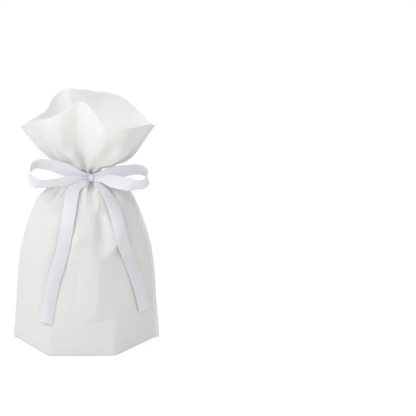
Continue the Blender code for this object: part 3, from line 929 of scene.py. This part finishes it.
        # Firm at the base and beside the seams, loose at the shoulders, free below the neck
        lower = LOOSE + (FIRM - LOOSE) * ease((0.135 - h) / 0.070)
        side = ease((seam - 0.62) / 0.30)
        lower = lower + (FIRM - lower) * side
        fade = np.clip((CUT_CHANNEL - h) / (0.050 - 0.030 * side), 0, 1)
        body = lower * fade
        mouth = FIRM * np.clip((h - CUT_CHANNEL) / 0.030, 0, 1)
        grip = np.where(h < CUT_CHANNEL, body, mouth)
        grip[self.height > CUT_HEIGHT - 0.004] = FIRM
        grip[np.abs(self.height - CUT_CHANNEL) < GRIP_HALF] = 1.0
        grip[self.height < 0.003] = 1.0
        return grip

    def drape(self, settings, frames=40):
        """Runs the cloth and returns its points; the result is the same at each run."""
        scene = bpy.context.scene
        mesh = bpy.data.meshes.new("pouch_cloth")
        mesh.from_pydata([tuple(p) for p in self.start.reshape(-1, 3)], [], self.faces())
        mesh.update()
        cloth = add_object("pouch_cloth", mesh)
        cloth.shape_key_add(name="Basis")
        key = cloth.shape_key_add(name="gather")
        key.data.foreach_set("co", self.target.astype(np.float32).ravel())
        key.value = 0
        key.keyframe_insert("value", frame=1)
        key.value = 1
        key.keyframe_insert("value", frame=int(frames * 0.7))
        group = cloth.vertex_groups.new(name="grip")
        for index, weight in enumerate(self.grip().ravel()):
            if weight > 0:
                group.add([index], float(weight), "REPLACE")
        modifier = cloth.modifiers.new("cloth", "CLOTH")
        for key, value in SHEET_CLOTH.items():
            setattr(modifier.settings, key, value)
        modifier.settings.bending_stiffness = settings.bending
        modifier.settings.effector_weights.gravity = 0.0
        for key, value in SHEET_CONTACT.items():
            setattr(modifier.collision_settings, key, value)
        scene.frame_start = 1
        scene.frame_end = frames
        modifier.point_cache.frame_start = 1
        modifier.point_cache.frame_end = frames
        for number in range(1, frames + 1):
            scene.frame_set(number)
        shown = cloth.evaluated_get(bpy.context.evaluated_depsgraph_get()).to_mesh()
        points = np.empty(len(shown.vertices) * 3, np.float32)
        shown.vertices.foreach_get("co", points)
        scene.frame_set(1)
        bpy.data.objects.remove(cloth)
        bpy.data.meshes.remove(mesh)
        return points.reshape(self.rows, self.columns, 3).astype(float)


# What the panels' operator leaves for the tails' one
STATE = {}


def panel_grid(cloth, points, side, flange):
    """One panel with its seam margins: points and their places on the flat cut."""
    order = np.arange(cloth.half + 1) if side < 0 else -np.arange(cloth.half + 1)
    grid = points[:, order % cloth.columns]
    left, right = grid[:, 0], grid[:, -1]
    back = points[:, (-order) % cloth.columns]
    out_left = unit(evened((left - grid[:, 2]) + (back[:, 0] - back[:, 2]), 7))
    out_right = unit(evened((right - grid[:, -3]) + (back[:, -1] - back[:, -3]), 7))
    width = flange * ease((np.abs(cloth.height - CUT_CHANNEL) - 0.006) / 0.012)[:, None]
    apart = np.array([0.0, side * SEAM_GAP, 0.0])
    strips = [left + out_left * width * k + apart for k in (1.0, 0.5)]
    ends = [right + out_right * width * k + apart for k in (0.5, 1.0)]
    near = grid.copy()
    near[:, [0, -1]] += apart
    near[:, [1, -2]] += apart * 0.5
    grid = np.concatenate([np.stack(strips, 1), near, np.stack(ends, 1)], axis=1)
    across = np.linspace(-HALF_CUT, HALF_CUT, cloth.half + 1)
    extra = np.array([0.5, 1.0]) * flange
    across = np.concatenate([-HALF_CUT - extra[::-1], across, HALF_CUT + extra])
    cut = np.stack(np.meshgrid(across, cloth.height), axis=2)
    return grid, cut


def notch_at(cut):
    """True where the flat cut's rounded notches are."""
    depth = (np.abs(cut[..., 0]) - NOTCH_START) / NOTCH_DEPTH
    tall = np.abs(cut[..., 1] - CUT_CHANNEL) / NOTCH_HALF
    return (depth > 0) & (tall < 1) | (depth <= 0) & (depth**2 + tall**2 < 1) & (depth > -0.3)


def without_loose(points, faces, cut):
    """The same mesh without the points that no face uses."""
    used = np.unique(np.array(faces).ravel())
    index = -np.ones(len(points), int)
    index[used] = np.arange(len(used))
    return points[used], [tuple(index[list(f)]) for f in faces], cut[used]


def thicken(piece, thickness, smooth=False):
    """Gives a single sheet its thickness."""
    solid = piece.modifiers.new("thickness", "SOLIDIFY")
    solid.thickness = thickness
    solid.offset = 0.0
    solid.use_even_offset = False
    if smooth:
        finer = piece.modifiers.new("smooth", "SUBSURF")
        finer.levels = finer.render_levels = 1


def build_panels(context):
    """The front and back panels, draped as one tube and parted at the seams."""
    settings = context.scene.gift_pouch
    cloth = Cloth(settings)
    points = cloth.settled(cloth.drape(settings))
    points = cloth.refine(points)
    cloth.press_folds(points)
    STATE["cloth"] = cloth
    STATE["points"] = points
    filled = sheet_material("frosted_sheet", settings, settings.colour, settings.filled_glow)
    free = {
        # Painted shade: the front wall's copy of the sheet is slightly darker and warmer than the
        # body's
        -1: sheet_material("frosted_front_painted_shade", settings, settings.front_painted_shade_colour, settings.front_glow),
        # Painted light: the back wall's copy of the sheet is much lighter than the body's, lighting
        # the inside of the mouth
        1: sheet_material("frosted_back_painted_light", settings, settings.back_painted_light_colour, settings.glow),
    }
    for name, node, side in (
        ("pouch_front", "front_panel", -1), ("pouch_back", "back_panel", 1)
    ):
        grid, cut = panel_grid(cloth, points, side, settings.flange)
        gone = notch_at((cut[:-1, :-1] + cut[1:, 1:]) / 2).ravel()
        faces = [f[::-side] for f, cut_out in zip(grid_faces(*grid.shape[:2]), gone) if not cut_out]
        flat, faces, places = without_loose(grid.reshape(-1, 3), faces, cut.reshape(-1, 2))
        piece = add_piece(name, flat, faces, places, filled, "pouch")
        piece.data.materials.append(free[side])
        mouth = [
            max(places[v][1] for v in f) > CUT_CHANNEL
            and max(abs(places[v][0]) for v in f) < HALF_CUT + 0.0002
            for f in faces
        ]
        piece.data.polygons.foreach_set("material_index", np.array(mouth, np.int32))
        thicken(piece, settings.sheet)
        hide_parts(node)


def build_gusset(context):
    """The folded bottom, joined inside the panels' lower edge."""
    settings = context.scene.gift_pouch
    material = bpy.data.materials["frosted_sheet"]
    places = np.linspace(-0.955, 0.955, 61)
    deep = np.linspace(-1, 1, 17)
    points = []
    cut = []
    for p in places:
        front, lip = (body_point(p, t, -1) + (0, GUSSET_INSET, 0) for t in (0.0, 0.03))
        crest = GUSSET_CREST * math.sin(math.pi * min(1.0, tip_lift(p) / TIP_LIFT))
        row = [lip]
        for d in deep:
            rise = crest * (1 - abs(d)) + GUSSET_CAMBER * (1 - d * d)
            row.append(np.array([front[0], d * -front[1], front[2] + GUSSET_LIFT + rise]))
        row.append(lip * (1, -1, 1))
        points.append(row)
        run = run_length(np.array(row))
        cut.append([(p * HALF_CUT, r - run[-1] / 2 + 0.02) for r in run])
    grid = np.array(points)
    piece = add_piece(
        "pouch_gusset", grid.reshape(-1, 3), grid_faces(*grid.shape[:2]),
        np.array(cut).reshape(-1, 2), material, "pouch",
    )
    thicken(piece, settings.sheet, smooth=True)
    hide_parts("bottom_gusset")


def build_casing(context):
    """The two strips welded inside the neck; they gather with the panels over the ribbon."""
    settings = context.scene.gift_pouch
    material = bpy.data.materials["frosted_sheet"]
    places = np.linspace(-CASING_REACH, CASING_REACH, 145)
    heights = np.linspace(-CASING_HALF, CASING_HALF, 9)
    for name, node, side in (
        ("casing_front", "front_casing_strip", -1), ("casing_back", "back_casing_strip", 1)
    ):
        points = []
        cut = []
        for h in heights:
            for p in places:
                angle = (p + 1) * math.pi / 2
                middle = CASING_RADIUS + CASING_FLARE * (abs(h) / CASING_HALF) ** 4
                radius = neck_ring(angle, settings.pleats, middle, CASING_PLEAT)
                x = -radius * math.cos(angle) + NECK_X
                points.append((x, side * radius * math.sin(angle), NECK_Z + h))
                cut.append((p * 0.07, CUT_CHANNEL + h * 0.8))
        faces = [f[::-side] for f in grid_faces(len(heights), len(places))]
        piece = add_piece(name, points, faces, cut, material, "pouch")
        thicken(piece, settings.sheet, smooth=True)
        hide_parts(node)


# ---- Ribbon pieces ----


def pinched(width, share):
    """Widths of a ribbon that leaves the knot pinched and opens out."""
    return width * (PINCHED + (1 - PINCHED) * ease(share))


def build_neck_ribbon(context):
    """The run through the back channel and the two ends round the neck to the knot."""
    width = context.scene.gift_ribbon.width
    angles = np.radians(np.linspace(10, 170, 40))
    x = RUN_RADIUS * np.cos(angles) + NECK_X
    line = np.stack([x, RUN_RADIUS * np.sin(angles), np.full(40, NECK_Z)], axis=1)
    up = np.tile([0.0, 0.0, 1.0], (40, 1))
    piece = add_ribbon("ribbon_in_channel", line, up, np.full(40, width * 0.97), "pouch")
    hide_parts("ribbon_back_run")
    for name, node, turn in (
        ("ribbon_round_right", "ribbon_wrap_right", 1),
        ("ribbon_round_left", "ribbon_wrap_left", -1),
    ):
        end = -90 + turn * math.degrees(math.asin(KNOT.x / WRAP_RADIUS))
        angles = np.concatenate([np.linspace(8, -14, 12), np.linspace(-19, end + 2, 26)])
        out = RUN_RADIUS + (WRAP_RADIUS - RUN_RADIUS) * ease((8 - angles) / 26)
        shares = 1 - 0.50 * ease((end + 40 - angles) / 40)
        ways = np.radians(angles if turn > 0 else 180 - angles)
        rise = NECK_Z + 0.0006 * np.sin(np.linspace(0, 7, len(angles)))
        line = np.stack([out * np.cos(ways) + NECK_X / 2, out * np.sin(ways), rise], axis=1)
        across = np.tile([0.0, 0.0, 1.0 * turn], (len(line), 1))
        piece = add_ribbon(name, line, across, width * shares, "pouch", cup=-0.03)
        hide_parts(node)


def build_knot(context):
    """The small pinched wrap in the middle of the bow."""
    size = (KNOT_HIGH - KNOT_LOW) / 2
    around = np.linspace(0, 2 * math.pi, 40)
    lean = 0.10 * np.sin(around)
    line = np.stack([
        KNOT.x + lean * size.x,
        KNOT.y + size.y * 0.95 * np.sin(around) * (0.9 + 0.1 * np.abs(np.sin(around))),
        KNOT.z - size.z * 0.90 * np.cos(around),
    ], axis=1)
    across = np.stack([0 * around + 1, 0 * around, 0.25 * np.cos(around)], axis=1)
    widths = size.x * 1.55 * (1 + 0.08 * np.sin(around * 2 + 0.6))
    wrap = add_ribbon("bow_knot_wrap", line, across, widths, "pouch", cup=-0.12)
    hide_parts("bow_knot")


def build_loops(context):
    """The bow's loops, each one strip from the knot out and back."""
    width = context.scene.gift_ribbon.width
    for name, node, turn, table in (
        ("bow_left", "bow_loop_left", -1, LEFT_LOOP),
        ("bow_right", "bow_loop_right", 1, RIGHT_LOOP),
    ):
        root = np.array([KNOT.x + turn * LOOP_ROOT, KNOT.y, KNOT.z])
        route = smooth_line(np.multiply(table, (turn * MM, -MM, MM, math.pi / 180)), 72)
        line = route[:, :3] + root
        tuck = 1 - ease(np.abs(route[:, 0]) / 0.012)
        line[:, 0] -= turn * LOOP_TUCK * tuck
        lean = route[:, 3]
        across = np.stack([0 * lean, np.cos(lean), np.sin(lean)], axis=1) * turn
        away = np.abs(line[:, 0] - root[0])
        across[:, 0] -= 0.14 * ease(1 - (away.max() - away) / 0.010)
        widths = pinched(width, away / PINCH)
        piece = add_ribbon(name, line, across, widths, node.replace("bow_", ""), cup=0.02)
        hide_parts(node)


def surface_y(tree, x, z):
    """How far forward the front of the pouch is at x and z."""
    hit = tree.ray_cast(Vector((x, -0.2, z)), Vector((0, 1, 0)))[0]
    return 0.0 if hit is None else hit.y


def tail_route(tree, table, width, opening, follow):
    """A tail's line: it lies on the pouch's crests and bridges the hollows between them."""
    spots = np.multiply(table, MM)
    shift = KNOT.z - (KNOT_HIGH.z - KNOT_LOW.z) / 2 - 0.0004 - spots[0, 1]
    line = smooth_line([(x, 0.0, z + shift * (z > 0.17)) for x, z in spots], 48)
    along = unit(np.gradient(line, axis=0))
    way = np.stack([-along[:, 2], 0 * along[:, 0], along[:, 0]], axis=1)
    widths = pinched(width, run_length(line) / opening)
    places = np.array([-0.5, -0.25, 0.0, 0.25, 0.5])
    lies = np.empty((len(line), len(places)))
    for i, point in enumerate(line):
        for k, place in enumerate(places):
            spot = point + way[i] * widths[i] * place
            lies[i, k] = surface_y(tree, spot[0], min(spot[2], BODY_TOP - 0.001))
    near = ease(run_length(line) / 0.022)
    tilt = follow * near * evened(np.clip((lies[:, 4] - lies[:, 0]) / widths, -0.6, 0.6), 3)
    rest = (lies - np.outer(tilt * widths, places)).min(axis=1)
    padded = np.pad(rest, 4, mode="edge")
    rest = evened(np.min([padded[k : k + len(line)] for k in range(2, 7)], axis=0), 3)
    knot_front = KNOT.y - 0.0010
    line[:, 1] = knot_front * (1 - near) + np.minimum(rest - HANG_GAP, 0) * near
    line[:, 1] = np.minimum(line[:, 1], rest - SUPPORT_GAP)
    across = way + np.stack([0 * tilt, tilt, 0 * tilt], axis=1)
    return line, across, widths


def build_tails(context):
    """The ribbon's ends, which hang down the front of the pouch."""
    if "cloth" not in STATE:
        raise RuntimeError("drape the pouch's panels before its ribbon tails")
    width = context.scene.gift_ribbon.width
    cloth, points = STATE["cloth"], STATE["points"]
    tree = BVHTree.FromPolygons([Vector(p) for p in points.reshape(-1, 3)], cloth.faces())
    for name, node, table, opening, follow, cup in (
        ("tail_hanging_left", "ribbon_tail_left", LEFT_TAIL, 0.014, 0.5, 0.015),
        ("tail_hanging_right", "ribbon_tail_right", RIGHT_TAIL, 0.036, 1.0, 0.085),
    ):
        line, across, widths = tail_route(tree, table, width, opening, follow)
        piece = add_ribbon(name, line, across, widths, node.replace("ribbon_", ""), cup=cup)
        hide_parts(node)


# ---- Stage ----


def add_aimed(name, data, spot, aim):
    """A lamp or camera at a spot, turned towards its aim."""
    holder = add_object(name, data)
    holder.location = spot
    holder.rotation_euler = (Vector(aim) - Vector(spot)).to_track_quat("-Z", "Y").to_euler()
    return holder


def add_world(scene, ambient):
    """Plain light from all round; the camera and clear reflections see white."""
    world = bpy.data.worlds.new("studio")
    world.use_nodes = True
    scene.world = world
    sky = Shader("studio", world.node_tree)
    path = sky.node("ShaderNodeLightPath", output="Is Camera Ray")
    for ray in ("Is Glossy Ray", "Is Transmission Ray"):
        path = path.at_least(sky.node("ShaderNodeLightPath", output=ray))
    plain = sky.node("ShaderNodeBackground", {0: (1, 1, 1, 1), 1: 1.0})
    light = sky.node("ShaderNodeBackground", {0: (1, 0.99, 0.965, 1), 1: ambient})
    both = sky.node("ShaderNodeMixShader", {0: path, 1: light, 2: plain})
    sky.node("ShaderNodeOutputWorld", {"Surface": both})


def add_floor():
    """A wide pale floor that keeps the pouch's shadow and looks white."""
    shader = Shader("studio_floor")
    grain = shader.noise(shader.object_place(), 40.0, 2.0)
    path = shader.node("ShaderNodeLightPath", output="Is Camera Ray")
    soft = shader.node(
        "ShaderNodeBsdfDiffuse", {"Color": (0.96, 0.96, 0.96, 1), "Roughness": 0.5}
    )
    white = shader.node("ShaderNodeEmission", {"Color": (1, 1, 1, 1), "Strength": 1.03})
    share = path * (0.90 + grain * 0.01)
    mixed = shader.node("ShaderNodeMixShader", {0: share, 1: soft, 2: white})
    shader.node("ShaderNodeOutputMaterial", {"Surface": mixed})
    steps = np.linspace(-FLOOR_HALF, FLOOR_HALF, 13)
    spots = [(x, y, 0.0) for y in steps for x in steps]
    mesh = bpy.data.meshes.new("floor")
    mesh.from_pydata(spots, [], grid_faces(len(steps), len(steps)))
    mesh.materials.append(shader.material)
    floor = add_object("floor", mesh)


def add_lamps(settings):
    """Three soft lamps: at the upper left, in front and overhead."""
    for name, spot, aim, size, power, colour in (
        ("key", (-1.1, -0.75, 1.25), 0.13, (0.9, 0.9), settings.key_power, (0.97, 0.98, 1.0)),
        ("fill", (-0.2, -1.5, 1.2), 0.14, (1.4, 1.0), settings.fill_power, (1.0, 0.995, 0.94)),
        ("overhead", (-0.1, 0.05, 1.5), 0.1, (1.0, 1.0), settings.top_power, (0.98, 0.985, 1.0)),
    ):
        lamp = bpy.data.lights.new(name, "AREA")
        lamp.shape = "RECTANGLE"
        lamp.size, lamp.size_y = size
        lamp.energy = power
        lamp.color = colour
        add_aimed(name, lamp, spot, (0, 0, aim))


def add_camera(scene, distance, tilt):
    camera = bpy.data.cameras.new("camera")
    camera.lens = 400.0
    camera.shift_x = 0.16
    camera.sensor_width = 36.0
    way = Vector((0, -math.cos(tilt), math.sin(tilt)))
    spot = Vector((0, 0, 0.1430)) + way * distance
    scene.camera = add_aimed("camera", camera, spot, (0.0585, 0, 0.1539))


def build_stage(context):
    scene = context.scene
    settings = scene.gift_stage
    scene.view_settings.view_transform = "Standard"
    add_world(scene, settings.ambient)
    add_floor()
    add_lamps(settings)
    add_camera(scene, settings.distance, settings.elevation)


# ---- Operators and panel ----


class GIFT_OT_stage(bpy.types.Operator):
    """Make the floor, the lamps and the camera"""

    bl_idname = "gift.stage"
    bl_label = "Stage"

    def execute(self, context):
        build_stage(context)
        return {"FINISHED"}


class GIFT_OT_panels(bpy.types.Operator):
    """Drape the front and back panels from their flat cut"""

    bl_idname = "gift.panels"
    bl_label = "Pouch panels"

    def execute(self, context):
        build_panels(context)
        return {"FINISHED"}


class GIFT_OT_gusset(bpy.types.Operator):
    """Make the folded bottom"""

    bl_idname = "gift.gusset"
    bl_label = "Bottom gusset"

    def execute(self, context):
        build_gusset(context)
        return {"FINISHED"}


class GIFT_OT_casing(bpy.types.Operator):
    """Make the two channel strips inside the neck"""

    bl_idname = "gift.casing"
    bl_label = "Casing strips"

    def execute(self, context):
        build_casing(context)
        return {"FINISHED"}


class GIFT_OT_neck_ribbon(bpy.types.Operator):
    """Run the ribbon through the channel and round the neck"""

    bl_idname = "gift.neck_ribbon"
    bl_label = "Neck ribbon"

    def execute(self, context):
        build_neck_ribbon(context)
        return {"FINISHED"}


class GIFT_OT_knot(bpy.types.Operator):
    """Wrap the knot in the middle of the bow"""

    bl_idname = "gift.knot"
    bl_label = "Knot"

    def execute(self, context):
        build_knot(context)
        return {"FINISHED"}


class GIFT_OT_loops(bpy.types.Operator):
    """Make the bow's two loops"""

    bl_idname = "gift.loops"
    bl_label = "Bow loops"

    def execute(self, context):
        build_loops(context)
        return {"FINISHED"}


class GIFT_OT_tails(bpy.types.Operator):
    """Hang the ribbon's two tails down the front"""

    bl_idname = "gift.tails"
    bl_label = "Ribbon tails"

    def execute(self, context):
        build_tails(context)
        return {"FINISHED"}


class GIFT_PT_panel(bpy.types.Panel):
    """The pouch's settings and pieces"""

    bl_idname = "GIFT_PT_panel"
    bl_label = "Gift Pouch"
    bl_space_type = "VIEW_3D"
    bl_region_type = "UI"
    bl_category = "Gift Pouch"

    def draw(self, context):
        scene = context.scene
        for group in (scene.gift_pouch, scene.gift_ribbon, scene.gift_stage):
            box = self.layout.box()
            for key in group.__annotations__:
                box.prop(group, key)
        for operator in OPERATORS:
            self.layout.operator(operator.bl_idname)


OPERATORS = (
    GIFT_OT_stage,
    GIFT_OT_loops,
    GIFT_OT_panels,
    GIFT_OT_gusset,
    GIFT_OT_casing,
    GIFT_OT_neck_ribbon,
    GIFT_OT_knot,
    GIFT_OT_tails,
)
CLASSES = (PouchSettings, RibbonSettings, StageSettings) + OPERATORS + (GIFT_PT_panel,)


def register():
    for item in CLASSES:
        bpy.utils.register_class(item)
    bpy.types.Scene.gift_pouch = bpy.props.PointerProperty(type=PouchSettings)
    bpy.types.Scene.gift_ribbon = bpy.props.PointerProperty(type=RibbonSettings)
    bpy.types.Scene.gift_stage = bpy.props.PointerProperty(type=StageSettings)


def unregister():
    del bpy.types.Scene.gift_stage
    del bpy.types.Scene.gift_ribbon
    del bpy.types.Scene.gift_pouch
    for item in reversed(CLASSES):
        bpy.utils.unregister_class(item)


def main():
    register()
    bpy.ops.gift.stage()
    bpy.ops.gift.loops()
    bpy.ops.gift.panels()
    bpy.ops.gift.gusset()
    bpy.ops.gift.casing()
    bpy.ops.gift.neck_ribbon()
    bpy.ops.gift.knot()
    bpy.ops.gift.tails()


if __name__ == "__main__":
    main()
